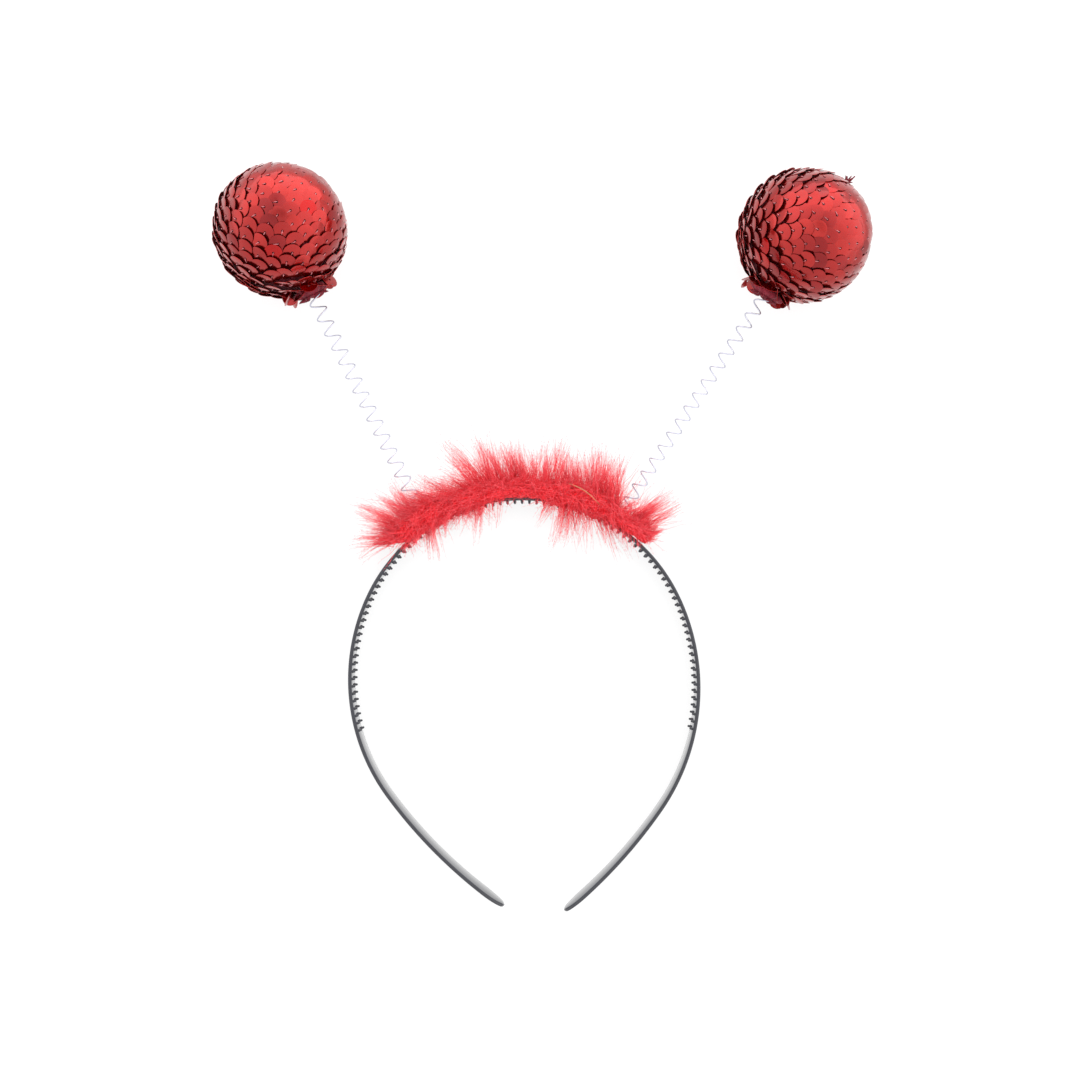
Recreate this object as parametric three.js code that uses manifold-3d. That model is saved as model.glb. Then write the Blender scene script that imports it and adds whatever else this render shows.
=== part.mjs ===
// Head bopper: a toothed plastic hair band with a marabou strip over its crown and two sequined balls
// that bob on coil springs. It lies on its side, with the band's edge and both balls on the plane z = 0.
// Millimetres. +Y runs from the band's open ends over its crown to the balls, and +Z is up.
import * as THREE from 'three';
import { mergeVertices } from 'three/addons/utils/BufferGeometryUtils.js';
import Module from 'manifold-3d';

const wasm = await Module();
wasm.setup();

// Driving dimensions

const fitGap = 0.3; // left between pieces that touch
const cutPast = 1; // how far a cut starts outside the surface it goes into
const mergeWithin = 1e-4; // corners of a mesh closer than this are one
const roundSides = 12; // of bores, seats and the space round a spring

// The band's outer face is a chain of tangent arcs from the crown to each end: radii as shares of the outer
// width, sweeps in degrees. tipSections: where the rounded end has a section, as shares of its length.
const band = {
  outerWidth: 123.5,
  width: 10,
  thickness: 1.3,
  chamfer: 0.35,
  tipLength: 9,
  tipSections: [0, 0.4, 0.68, 0.87, 0.97],
  stationStep: 8,
  left: [
    { radius: 0.486, sweep: 64.6 },
    { radius: 0.563, sweep: 61.8 },
    { radius: 1.406, sweep: 18.8 },
  ],
  right: [
    { radius: 0.496, sweep: 64.8 },
    { radius: 0.609, sweep: 60 },
    { radius: 1.438, sweep: 16.1 },
  ],
};

// Two rows of pointed teeth on the inner face, centred on the crown.
const teeth = {
  perRow: 89,
  pitch: 2.66,
  height: 1.2,
  base: 1.4,
  edgeInset: 1.75,
  sunk: 0.3,
};

// A coil spring of round wire, with closed turns at both ends. apart: between the springs along the band.
// reach: from the band to a ball's centre, in the plane of the band.
const spring = {
  wire: 0.5,
  wireSides: 5,
  stepsPerTurn: 6,
  width: 5,
  pitch: 5.4,
  closedTurns: 2,
  closedPitch: 0.64,
  postLength: 3.6,
  postTaper: 0.3,
  postSides: 8,
  apart: 70,
  reach: 114,
};

// A ball covered with sequins in rows round the spring's axis, with their free edges away from the neck.
const ball = {
  radius: 23,
  sequinLift: 0.9,
  rows: 13,
  sequinsPerRow: 16,
  scallop: 0.9,
  socketDepth: 6,
};

// Cloth gathered round the spring where it enters the ball.
const gather = {
  radius: 6.2,
  waist: 4.3,
  frill: 5.2,
  seatDepth: 2,
  waistHeight: 1.5,
  frillHeight: 3,
  pleats: 8,
  pleatShare: 0.09,
};

// The two boppers. along, reach, coil and pitch are shares of the springs' apart, reach, width and pitch.
// lean: degrees from +Y towards +X. phase: where the wire starts round its coil, in degrees.
const boppers = [
  {
    name: 'left',
    side: -1,
    along: 0.511,
    lean: -25.6,
    reach: 0.978,
    coil: 1.06,
    pitch: 0.991,
    phase: 60,
  },
  {
    name: 'right',
    side: 1,
    along: 0.489,
    lean: 33.2,
    reach: 1.023,
    coil: 0.96,
    pitch: 1.019,
    phase: 0,
  },
];

// The marabou strip: its cord lies on the band's outer face, beside the springs, in a body of dense fluff
// that locks stand out of.
const marabou = {
  halfLength: 47,
  cordRadius: 1.2,
  bodyRadius: 4.6,
  bodySides: 7,
  lockReach: 20,
  lockRadius: 4.9,
  lockSides: 5,
  curl: 0.16,
  springSpace: 11,
  headSpace: 75,
};

// A lock's outline: its radius and the distance from its root, as shares of lockRadius and of its reach.
const lockProfile = [
  { radius: 0, height: 0 },
  { radius: 1, height: 0.3 },
  { radius: 0.68, height: 0.7 },
  { radius: 0, height: 1 },
];

// Locks seen from above. place: share of the half length, negative on the left. reach: share of lockReach.
// lean: degrees from the band's outward normal, positive to the right.
const locks = [
  { place: -0.98, reach: 0.85, lean: -12 },
  { place: -0.86, reach: 0.85, lean: 8 },
  { place: -0.7, reach: 0.7, lean: 12 },
  { place: -0.52, reach: 0.75, lean: 4 },
  { place: -0.34, reach: 1.15, lean: -2 },
  { place: -0.16, reach: 0.88, lean: -8 },
  { place: 0.02, reach: 0.92, lean: -10 },
  { place: 0.2, reach: 0.85, lean: -8 },
  { place: 0.38, reach: 1.1, lean: -16 },
  { place: 0.54, reach: 1, lean: -22 },
  { place: 0.68, reach: 1.3, lean: -26 },
  { place: 0.82, reach: 0.95, lean: -30 },
  { place: 0.97, reach: 1.1, lean: -2 },
];

// Layers of locks round the cord. rise: degrees above the band's plane. share: of the lock's own reach.
const layers = [
  { name: 'outer', rise: 12, share: 1 },
  { name: 'low', rise: -32, share: 0.75 },
  { name: 'upper', rise: 74, share: 0.68 },
];

// Materials

const plastic = new THREE.MeshStandardMaterial({ color: 0x17171c, roughness: 0.22, metalness: 0 });
const steel = new THREE.MeshStandardMaterial({ color: 0xb9b8c4, roughness: 0.25, metalness: 1 });
const sequin = new THREE.MeshStandardMaterial({ color: 0xc81a1c, roughness: 0.25, metalness: 0.7 });
const cloth = new THREE.MeshStandardMaterial({ color: 0x8c1018, roughness: 0.9, metalness: 0 });
const feather = new THREE.MeshStandardMaterial({ color: 0xd81e2a, roughness: 0.95, metalness: 0 });

// Helpers

const radians = THREE.MathUtils.degToRad;
const up = new THREE.Vector3(0, 0, 1);

// The closed solid of a geometry, for cuts and joins.
function solidOf(geometry) {
  const bare = geometry.clone();
  bare.deleteAttribute('normal');
  bare.deleteAttribute('uv');
  const merged = mergeVertices(bare, mergeWithin);
  const index = merged.index.array;
  const kept = [];
  for (let i = 0; i < index.length; i += 3) {
    const [a, b, c] = [index[i], index[i + 1], index[i + 2]];
    if (a !== b && b !== c && c !== a) {
      kept.push(a, b, c);
    }
  }
  return new wasm.Manifold(
    new wasm.Mesh({
      numProp: 3,
      vertProperties: new Float32Array(merged.attributes.position.array),
      triVerts: new Uint32Array(kept),
    }),
  );
}

function geometryOf(solid) {
  const mesh = solid.getMesh();
  const geometry = new THREE.BufferGeometry();
  geometry.setAttribute('position', new THREE.BufferAttribute(mesh.vertProperties, 3));
  geometry.setIndex(new THREE.BufferAttribute(mesh.triVerts, 1));
  geometry.computeVertexNormals();
  return geometry;
}

// A closed skin over a row of rings with as many points each, which run counterclockwise about the way
// from the first ring to the last. Each end closes on a point.
function skin(rings, startPoint, endPoint) {
  const count = rings[0].length;
  const points = [...rings.flat(), startPoint, endPoint];
  const start = rings.length * count;
  const index = [];
  for (let ring = 0; ring < rings.length - 1; ring += 1) {
    for (let i = 0; i < count; i += 1) {
      const a = ring * count + i;
      const b = ring * count + ((i + 1) % count);
      index.push(a, b, b + count, a, b + count, a + count);
    }
  }
  const last = (rings.length - 1) * count;
  for (let i = 0; i < count; i += 1) {
    const next = (i + 1) % count;
    index.push(start, next, i, start + 1, last + i, last + next);
  }
  const geometry = new THREE.BufferGeometry().setFromPoints(points);
  geometry.setIndex(index);
  geometry.computeVertexNormals();
  return geometry;
}

// A prism or cone frustum along a direction, from one point, with n sides that stay outside the radius.
function roundPost(from, direction, length, radius, endRadius, sides) {
  const outside = 1 / Math.cos(Math.PI / sides);
  const geometry = new THREE.CylinderGeometry(endRadius * outside, radius * outside, length, sides);
  geometry.translate(0, length / 2, 0);
  geometry.applyQuaternion(
    new THREE.Quaternion().setFromUnitVectors(new THREE.Vector3(0, 1, 0), direction),
  );
  geometry.translate(from.x, from.y, from.z);
  return geometry;
}

// The band's path

// The arcs of one side from the crown to its end, with their radii and lengths in millimetres.
function bandArcs(side) {
  return (side < 0 ? band.left : band.right).map((arc) => {
    const radius = arc.radius * band.outerWidth;
    return { radius, length: radius * radians(arc.sweep) };
  });
}

// The point of the outer face at a signed distance from the crown, negative on the left,
// with the outward normal and the direction of travel to the right.
function bandFrame(along) {
  const side = along < 0 ? -1 : 1;
  const arcs = bandArcs(side);
  let left = Math.abs(along);
  let turn = 0;
  let x = 0;
  let y = 0;
  arcs.forEach(({ radius, length }, i) => {
    const used = i === arcs.length - 1 ? left : Math.min(left, length);
    const next = turn + used / radius;
    x += radius * (Math.sin(next) - Math.sin(turn));
    y += radius * (Math.cos(next) - Math.cos(turn));
    turn = next;
    left -= used;
  });
  return {
    point: new THREE.Vector3(side * x, y, 0),
    normal: new THREE.Vector3(side * Math.sin(turn), Math.cos(turn), 0),
    tangent: new THREE.Vector3(Math.cos(turn), -side * Math.sin(turn), 0),
  };
}

function sideLength(side) {
  return bandArcs(side).reduce((sum, { length }) => sum + length, 0);
}

// Distances from the crown at which the band's section is placed, closer together in the rounded ends.
function bandStations() {
  const ends = [-1, 1].map((side) => {
    const full = sideLength(side);
    const straight = full - band.tipLength;
    const count = Math.round(straight / band.stationStep);
    const body = Array.from({ length: count }, (_, i) => side * (i * straight) / count);
    const tip = band.tipSections.map((share) => side * (straight + share * band.tipLength));
    return [...body, ...tip];
  });
  return [...ends[0].slice(1).reverse(), ...ends[1]];
}

// The band's width at a distance from the crown: full, then falling off as an ellipse towards the end.
function widthAt(along) {
  const full = sideLength(along < 0 ? -1 : 1);
  const share = Math.max(0, (Math.abs(along) - full + band.tipLength) / band.tipLength);
  return band.width * Math.sqrt(1 - share * share);
}

const middle = band.width / 2;

function bandSection(along) {
  const { point, normal } = bandFrame(along);
  const half = widthAt(along) / 2;
  const corner = Math.min(band.chamfer, half / 2);
  const outline = [
    [0, corner - half],
    [0, half - corner],
    [corner, half],
    [band.thickness - corner, half],
    [band.thickness, half - corner],
    [band.thickness, corner - half],
    [band.thickness - corner, -half],
    [corner, -half],
  ];
  return outline.map(([inset, z]) => (
    point.clone().addScaledVector(normal, -inset).setZ(middle + z)
  ));
}

// Pieces

// A tooth is a four-sided point towards the head.
function tooth(along, height) {
  const { point, normal } = bandFrame(along);
  const length = teeth.height + teeth.sunk;
  const geometry = new THREE.ConeGeometry(teeth.base / Math.SQRT2, length, 4);
  geometry.rotateY(Math.PI / 4);
  geometry.translate(0, length / 2, 0);
  geometry.rotateZ(Math.atan2(normal.y, normal.x) + Math.PI / 2);
  const foot = point.addScaledVector(normal, teeth.sunk - band.thickness);
  geometry.translate(foot.x, foot.y, height);
  return geometry;
}

function headband() {
  const sections = bandStations().map(bandSection);
  const centre = (ring) => ring.reduce((sum, p) => sum.add(p), new THREE.Vector3())
    .divideScalar(ring.length);
  const strip = skin(sections, centre(sections[0]), centre(sections[sections.length - 1]));
  const rows = [teeth.edgeInset, band.width - teeth.edgeInset];
  const first = -(teeth.perRow - 1) / 2;
  const pieces = [solidOf(strip)];
  for (let i = 0; i < teeth.perRow; i += 1) {
    rows.forEach((height) => pieces.push(solidOf(tooth((first + i) * teeth.pitch, height))));
  }
  boppers.forEach((bopper) => pieces.push(solidOf(springPost(bopper))));
  return geometryOf(wasm.Manifold.union(pieces));
}

// Where a bopper's spring stands, as a signed distance from the crown, and how wide it is outside.
const springPlace = ({ side, along }) => side * along * spring.apart;
const springWidth = ({ coil }) => coil * spring.width;

// Where a bopper's spring starts, its axis, and the centre of its ball, which rests on the plane z = 0.
function bopperFrame(bopper) {
  const { point, normal } = bandFrame(springPlace(bopper));
  const root = point.clone().setZ(middle);
  const angle = radians(bopper.lean);
  const reach = bopper.reach * spring.reach;
  const centre = new THREE.Vector3(
    root.x + reach * Math.sin(angle),
    root.y + reach * Math.cos(angle),
    ball.radius,
  );
  const axis = centre.clone().sub(root).normalize();
  return { root, normal, centre, axis, span: centre.distanceTo(root) };
}

// The wire's middle line is this far from the coil's axis.
function coilRadius(bopper) {
  return (springWidth(bopper) - spring.wire) / 2;
}

// How far from the band the first turn's middle lies on its axis, so that the tilted turn clears the band.
function firstTurn(bopper) {
  const { normal, axis } = bopperFrame(bopper);
  const tilt = axis.angleTo(normal);
  return fitGap + spring.wire / 2 + coilRadius(bopper) * Math.tan(tilt);
}

// The post inside the closed turns, which the wire's straight steps clear.
function springPost(bopper) {
  const { root, axis } = bopperFrame(bopper);
  const inner = coilRadius(bopper) * Math.cos(Math.PI / spring.stepsPerTurn) - spring.wire / 2;
  const radius = (inner - fitGap) * Math.cos(Math.PI / spring.postSides);
  const sunk = band.thickness / 2;
  const from = root.clone().addScaledVector(axis, -sunk);
  const length = spring.postLength + sunk;
  return roundPost(from, axis, length, radius, radius - spring.postTaper, spring.postSides);
}

class CoilCurve extends THREE.Curve {
  constructor(radius, length, pitch, phase) {
    super();
    this.radius = radius;
    this.phase = phase;
    const openLength = length - 2 * spring.closedTurns * spring.closedPitch;
    this.openTurns = Math.max(1, Math.round(openLength / pitch));
    this.openPitch = openLength / this.openTurns;
    this.turns = this.openTurns + 2 * spring.closedTurns;
    this.arcLengthDivisions = 6 * spring.stepsPerTurn * this.turns;
  }

  getPoint(t, target = new THREE.Vector3()) {
    const turn = t * this.turns;
    const lower = Math.min(turn, spring.closedTurns);
    const upper = Math.max(0, turn - spring.closedTurns - this.openTurns);
    const open = turn - lower - upper;
    const height = (lower + upper) * spring.closedPitch + open * this.openPitch;
    const angle = this.phase + 2 * Math.PI * turn;
    return target.set(this.radius * Math.cos(angle), this.radius * Math.sin(angle), height);
  }
}

// A regular polygon to sweep along a curve.
function polygon(radius, sides) {
  const shape = new THREE.Shape();
  for (let i = 0; i < sides; i += 1) {
    const angle = (2 * Math.PI * i) / sides;
    const [x, y] = [radius * Math.cos(angle), radius * Math.sin(angle)];
    if (i === 0) {
      shape.moveTo(x, y);
    } else {
      shape.lineTo(x, y);
    }
  }
  shape.closePath();
  return shape;
}

function springMesh(bopper) {
  const { root, axis, span } = bopperFrame(bopper);
  const start = firstTurn(bopper);
  const length = span - ball.radius + ball.socketDepth - start;
  const pitch = bopper.pitch * spring.pitch;
  const curve = new CoilCurve(coilRadius(bopper), length, pitch, radians(bopper.phase));
  const geometry = new THREE.ExtrudeGeometry(polygon(spring.wire / 2, spring.wireSides), {
    steps: curve.turns * spring.stepsPerTurn,
    extrudePath: curve,
  });
  const mesh = new THREE.Mesh(geometry, steel);
  mesh.name = `${bopper.name}_spring`;
  mesh.position.copy(root).addScaledVector(axis, start);
  mesh.quaternion.setFromUnitVectors(up, axis);
  return mesh;
}

// A ball of overlapping rows, each lifted at its free edge, with every second point of an edge drawn out
// into the round end of a sequin. The rows are staggered.
function sequinedBall() {
  const count = 2 * ball.sequinsPerRow;
  const rowAngle = Math.PI / (ball.rows + 1);
  const scallopAngle = ball.scallop / ball.radius;
  const at = (radius, polar, i) => new THREE.Vector3().setFromSphericalCoords(
    radius,
    Math.PI - polar,
    (2 * Math.PI * i) / count,
  );
  const under = ball.radius - ball.sequinLift;
  const rings = [Array.from({ length: count }, (_, i) => at(under, rowAngle / 2, i))];
  for (let row = 0; row < ball.rows; row += 1) {
    const polar = (row + 1) * rowAngle;
    const reach = (i) => polar + scallopAngle * Math.sin(polar) * ((i + row) % 2 ? 1 : -1);
    const lip = (i) => ball.radius - ((i + row) % 2 ? 0 : ball.sequinLift / 2);
    rings.push(Array.from({ length: count }, (_, i) => at(lip(i), reach(i), i)));
    rings.push(Array.from({ length: count }, (_, i) => at(under, reach(i), i)));
  }
  const start = new THREE.Vector3(0, -under, 0);
  const end = new THREE.Vector3(0, ball.radius, 0);
  return skin(rings, start, end);
}

function ballMesh(bopper) {
  const { centre, axis } = bopperFrame(bopper);
  const geometry = sequinedBall();
  geometry.applyQuaternion(
    new THREE.Quaternion().setFromUnitVectors(new THREE.Vector3(0, 1, 0), axis),
  );
  const neck = axis.clone().multiplyScalar(-ball.radius - cutPast);
  const seat = cutPast + gather.seatDepth;
  const socket = cutPast + ball.socketDepth + spring.wire / 2 + fitGap;
  const seatRadius = gather.radius + fitGap;
  const seatCut = roundPost(neck, axis, seat, seatRadius, seatRadius, roundSides);
  const bore = springWidth(bopper) / 2 + fitGap;
  const boreCut = roundPost(neck, axis, socket, bore, bore, roundSides);
  const cut = solidOf(geometry).subtract(solidOf(seatCut)).subtract(solidOf(boreCut));
  const mesh = new THREE.Mesh(geometryOf(cut), sequin);
  mesh.name = `${bopper.name}_ball`;
  mesh.position.copy(centre);
  return mesh;
}

// A pleated collar with a bore for the spring, drawn in at its waist and flared at its free end.
function gatherMesh(bopper) {
  const { centre, axis } = bopperFrame(bopper);
  const count = 2 * gather.pleats;
  const ring = (radius, height, share) => Array.from({ length: count }, (_, i) => {
    const angle = (2 * Math.PI * i) / count;
    const r = radius * (i % 2 ? 1 : 1 - share);
    return new THREE.Vector3(r * Math.cos(angle), r * Math.sin(angle), height);
  });
  const base = fitGap - gather.seatDepth;
  const rings = [
    ring(gather.radius, base, gather.pleatShare),
    ring(gather.radius, 0, gather.pleatShare),
    ring(gather.waist, gather.waistHeight, 0),
    ring(gather.frill, gather.frillHeight, 2 * gather.pleatShare),
  ];
  const body = skin(rings, new THREE.Vector3(0, 0, base), new THREE.Vector3(0, 0, gather.frillHeight));
  const bore = springWidth(bopper) / 2 + fitGap;
  const length = gather.frillHeight - base + 2 * cutPast;
  const cut = roundPost(new THREE.Vector3(0, 0, base - cutPast), up, length, bore, bore, roundSides);
  const mesh = new THREE.Mesh(geometryOf(solidOf(body).subtract(solidOf(cut))), cloth);
  mesh.name = `${bopper.name}_neck_gather`;
  mesh.position.copy(centre).addScaledVector(axis, -ball.radius);
  mesh.quaternion.setFromUnitVectors(up, axis.clone().negate());
  return mesh;
}

// The middle of the marabou's cord, which runs just clear of the band, above the springs.
const cordHeight = middle + Math.max(...boppers.map(springWidth)) / 2 + fitGap + marabou.cordRadius;

class CordCurve extends THREE.Curve {
  getPoint(t, target = new THREE.Vector3()) {
    const { point, normal } = bandFrame((2 * t - 1) * marabou.halfLength);
    return target.copy(point).addScaledVector(normal, marabou.cordRadius + fitGap).setZ(cordHeight);
  }
}

// A lock is a spindle of feather from the cord to its tip, curled along the strip.
function lock(place, lean, rise, reach) {
  const along = place * marabou.halfLength;
  const { point, normal, tangent } = bandFrame(along);
  const [slant, lift] = [radians(lean), radians(rise)];
  const direction = normal.clone().multiplyScalar(Math.cos(slant) * Math.cos(lift))
    .addScaledVector(tangent, Math.sin(slant) * Math.abs(Math.cos(lift)))
    .addScaledVector(up, Math.sin(lift));
  const profile = lockProfile.map(({ radius, height }) => (
    new THREE.Vector2(radius * marabou.lockRadius, height * reach)
  ));
  const geometry = new THREE.LatheGeometry(profile, marabou.lockSides);
  const position = geometry.attributes.position;
  for (let i = 0; i < position.count; i += 1) {
    const share = position.getY(i) / reach;
    position.setX(i, position.getX(i) + marabou.curl * reach * share * share * Math.sign(place));
  }
  geometry.applyQuaternion(
    new THREE.Quaternion().setFromUnitVectors(new THREE.Vector3(0, 1, 0), direction),
  );
  const from = point.clone().addScaledVector(normal, marabou.cordRadius + fitGap).setZ(cordHeight);
  geometry.translate(from.x, from.y, from.z);
  return geometry;
}

// The space that the band and the head take up, which the fluff keeps out of: everything inside the band's
// outer face round the crown, up to the band's top edge.
function headSpace() {
  const outline = new THREE.Shape();
  const steps = Math.round((2 * marabou.headSpace) / band.stationStep);
  for (let i = 0; i <= steps; i += 1) {
    const { point, normal } = bandFrame(((2 * i) / steps - 1) * marabou.headSpace);
    const { x, y } = point.addScaledVector(normal, fitGap);
    if (i === 0) {
      outline.moveTo(x, y);
    } else {
      outline.lineTo(x, y);
    }
  }
  outline.closePath();
  const depth = 2 * band.width;
  const geometry = new THREE.ExtrudeGeometry(outline, { depth, bevelEnabled: false });
  geometry.translate(0, 0, band.width + fitGap - depth);
  return geometry;
}

function marabouMesh() {
  const body = new THREE.ExtrudeGeometry(polygon(marabou.bodyRadius, marabou.bodySides), {
    steps: locks.length,
    extrudePath: new CordCurve(),
  });
  const pieces = [solidOf(body)];
  const springs = boppers.map(springPlace);
  locks.forEach(({ place, reach, lean }) => {
    layers.forEach(({ name, rise, share }) => {
      const full = reach * share * marabou.lockReach;
      const along = place * marabou.halfLength;
      const bySpring = springs.some((at) => Math.abs(at - along) < marabou.springSpace);
      if (name === 'low' && bySpring) {
        return;
      }
      const toFloor = (cordHeight - marabou.lockRadius / 2) / Math.abs(Math.sin(radians(rise)));
      pieces.push(solidOf(lock(place, lean, rise, rise < 0 ? Math.min(full, toFloor) : full)));
    });
  });
  let fluff = wasm.Manifold.union(pieces).subtract(solidOf(headSpace()));
  boppers.forEach((bopper) => {
    const { root, axis, span } = bopperFrame(bopper);
    const radius = springWidth(bopper) / 2 + fitGap;
    fluff = fluff.subtract(solidOf(roundPost(root, axis, span, radius, radius, roundSides)));
  });
  const mesh = new THREE.Mesh(geometryOf(fluff), feather);
  mesh.name = 'marabou_strip';
  return mesh;
}

// Assembly

const group = new THREE.Group();
const bandMesh = new THREE.Mesh(headband(), plastic);
bandMesh.name = 'headband';
group.add(bandMesh, marabouMesh());
boppers.forEach((bopper) => group.add(springMesh(bopper), ballMesh(bopper), gatherMesh(bopper)));

// The origin is under the middle of the whole.
group.updateMatrixWorld(true);
const box = new THREE.Box3().setFromObject(group, true);
const centre = box.getCenter(new THREE.Vector3());
group.position.set(-centre.x, -centre.y, 0);

export default group;
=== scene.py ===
import math

import bpy
import numpy as np
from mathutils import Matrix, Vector


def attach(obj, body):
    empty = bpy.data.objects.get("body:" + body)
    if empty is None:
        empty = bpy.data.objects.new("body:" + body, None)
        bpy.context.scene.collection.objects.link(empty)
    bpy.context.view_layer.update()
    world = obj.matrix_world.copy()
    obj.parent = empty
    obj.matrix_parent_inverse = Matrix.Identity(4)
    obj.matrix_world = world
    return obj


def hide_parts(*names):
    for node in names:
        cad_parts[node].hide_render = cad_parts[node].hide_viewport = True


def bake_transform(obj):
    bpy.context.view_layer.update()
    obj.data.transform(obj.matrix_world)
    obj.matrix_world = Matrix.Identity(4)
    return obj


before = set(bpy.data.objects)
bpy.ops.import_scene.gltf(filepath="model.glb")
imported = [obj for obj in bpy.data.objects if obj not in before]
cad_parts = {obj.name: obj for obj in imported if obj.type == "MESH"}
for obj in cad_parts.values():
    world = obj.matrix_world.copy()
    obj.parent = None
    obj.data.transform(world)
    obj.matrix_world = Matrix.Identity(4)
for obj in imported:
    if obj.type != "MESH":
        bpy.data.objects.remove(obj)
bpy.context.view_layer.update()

MM = 0.001
SEED = 11
UP = np.array([0.0, 0.0, 1.0])

# Driving dimensions

CAMERA = {"x": -0.912, "y": 1.446, "height": 490, "lens": 45.71, "sensor": 36}

# The middle of the crown's outer face, in the frame's plane, and the band's outer arcs from there to each
# end: radius and sweep in degrees.
CROWN = np.array([-7.248, 16.62, 0.0])
OUTER_WIDTH = 123.5
ARCS = {
    -1: [(0.486 * OUTER_WIDTH, 64.6), (0.563 * OUTER_WIDTH, 61.8), (1.406 * OUTER_WIDTH, 18.8)],
    1: [(0.496 * OUTER_WIDTH, 64.8), (0.609 * OUTER_WIDTH, 60), (1.438 * OUTER_WIDTH, 16.1)],
}
BAND = {"width": 10, "thickness": 1.3, "corner": 0.4, "tip": 9, "step": 1.3}
BAND_TIP_STATIONS = 14
TEETH = {"per_row": 89, "pitch": 2.66, "height": 1.08, "foot": 0.58, "neck": 0.44, "sunk": 0.3, "inset": 1.75}
TOOTH_SIDES = 8

# Each spring: how far from the crown it leaves the band, the lean of its axis from +Y towards +X, its reach
# in the band's plane to the ball's centre, its outer width, the length of a turn and the starting angle.
SPRINGS = {
    "left": {"at": -35.77, "lean": -25.6, "reach": 111.492, "width": 5.3, "pitch": 5.351, "phase": 60},
    "right": {"at": 34.23, "lean": 33.2, "reach": 116.622, "width": 4.8, "pitch": 5.503, "phase": 0},
}
WIRE = {"width": 0.5, "closed_turns": 2, "closed_pitch": 0.64, "sides": 10, "steps": 28, "fit": 0.3}
POST = {"length": 3.6, "taper": 0.3, "sunk": 0.65, "straight": 2, "sides": 20}

BALL = {"radius": 23, "socket": 6, "neck": 6.5}
COVER = {"radius": 20.8, "around": 72, "rings": 44, "folds": 12, "fold": 0.25}
SEQUIN = {"radius": 3.05, "hole": 0.42, "sheet": 0.1, "bent": 0.16, "seat": 22.15, "row": 3.75, "pitch": 5.4}
SEQUIN_SHAPE = {"segments": 18, "flat": 0.72, "warp": 0.009, "lowest": 0.02}
# The way that the sequins' rows advance over each ball, and where its free edges point on the far side. Near
# the other side they stand up from the cloth.
ROWS_TOWARDS = {"left": (0.48, 0.85, -0.2), "right": (0.98, 0.14, -0.1)}
GATHER = {"radius": 6.1, "waist": 3.9, "frill": 4.7, "seat": 1.7, "waist_at": 1.0, "frill_at": 1.7}
PLEATS = 13
CLOTH = 0.3  # thickness of the gathered wall
# Sequins that the gathered cloth leaves at odd angles round the neck.
NECK_SEQUINS = {"left": 12, "right": 17}
THREAD_ENDS = {"on": "right", "way": (0.61, 0.79, 0.06), "count": 20, "length": 2.5}

STRIP = {"half": 47, "cord": 1.2, "height": 9.15, "fit": 0.3, "lift": 0.8, "rise": 3.3}
STRIP_RINGS, STRIP_SIDES = 150, 28
# The strip's dense body: share of the half length, and how far it reaches over the band's outer face, inwards
# and outwards.
BODY = [
    (-1.0, -0.4, 4.6),
    (-0.9, -1.4, 6.8),
    (-0.75, -1.6, 6.6),
    (-0.6, -1.6, 6.2),
    (-0.42, -1.6, 5.0),
    (-0.3, -1.4, 5.6),
    (-0.2, -0.3, 5.0),
    (0.0, -0.3, 4.6),
    (0.12, -0.3, 5.0),
    (0.22, -1.5, 5.6),
    (0.42, -1.6, 6.4),
    (0.57, -1.4, 6.6),
    (0.65, -0.3, 5.8),
    (0.72, -0.3, 3.8),
    (0.8, -0.3, 3.4),
    (0.9, -0.3, 4.0),
    (1.0, -0.3, 3.6),
]

# Tufts of the strip. at: share of the half length from the crown, left negative. reach: of the longest
# barbs. lean: degrees from the band's outward normal, positive to the right. rise: degrees above the plane.
# spread: degrees. barbs: how many. bow: sideways bend as a share of the length, positive to the right.
TUFT_COLUMNS = ("at", "reach", "lean", "rise", "spread", "barbs", "bow")
TUFTS = [
    (-0.97, 9, -46, 8, 14, 35, -0.1),
    (-0.94, 17.5, -43, 12, 13, 80, -0.12),
    (-0.91, 12, -30, 35, 24, 55, 0.0),
    (-0.87, 22, -20, 12, 9, 90, -0.1),
    (-0.8, 18, -12, 20, 13, 85, -0.08),
    (-0.72, 18, -34, 22, 15, 75, -0.05),
    (-0.63, 17, -44, 26, 18, 70, 0.0),
    (-0.53, 18, -48, 24, 16, 70, -0.05),
    (-0.43, 19, -52, 24, 14, 65, -0.05),
    (-0.33, 15, -42, 18, 13, 65, -0.05),
    (-0.25, 26, -27, 14, 7, 90, -0.06),
    (-0.18, 21, -16, 24, 12, 75, 0.02),
    (-0.11, 20, -24, 18, 9, 65, 0.03),
    (-0.03, 18, -14, 15, 13, 75, -0.06),
    (0.04, 19, -20, 12, 12, 70, -0.03),
    (0.12, 18, -8, 20, 13, 65, 0.04),
    (0.19, 21, -5, 14, 11, 55, 0.02),
    (0.28, 11.5, 4, 25, 24, 60, 0.0),
    (0.37, 18, -22, 14, 12, 80, 0.03),
    (0.46, 19, -24, 20, 13, 80, -0.04),
    (0.54, 21.5, -20, 14, 12, 85, 0.04),
    (0.62, 24, -27, 12, 9, 90, 0.03),
    (0.67, 21, -27, 22, 9, 85, 0.02),
    (0.76, 11, 24, 15, 11, 35, 0.1),
    (0.8, 20, 27, 10, 5, 60, 0.04),
    (0.86, 20, 9, 12, 6, 65, 0.04),
    (0.94, 6.5, 0, 12, 24, 35, 0.05),
]
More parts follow.
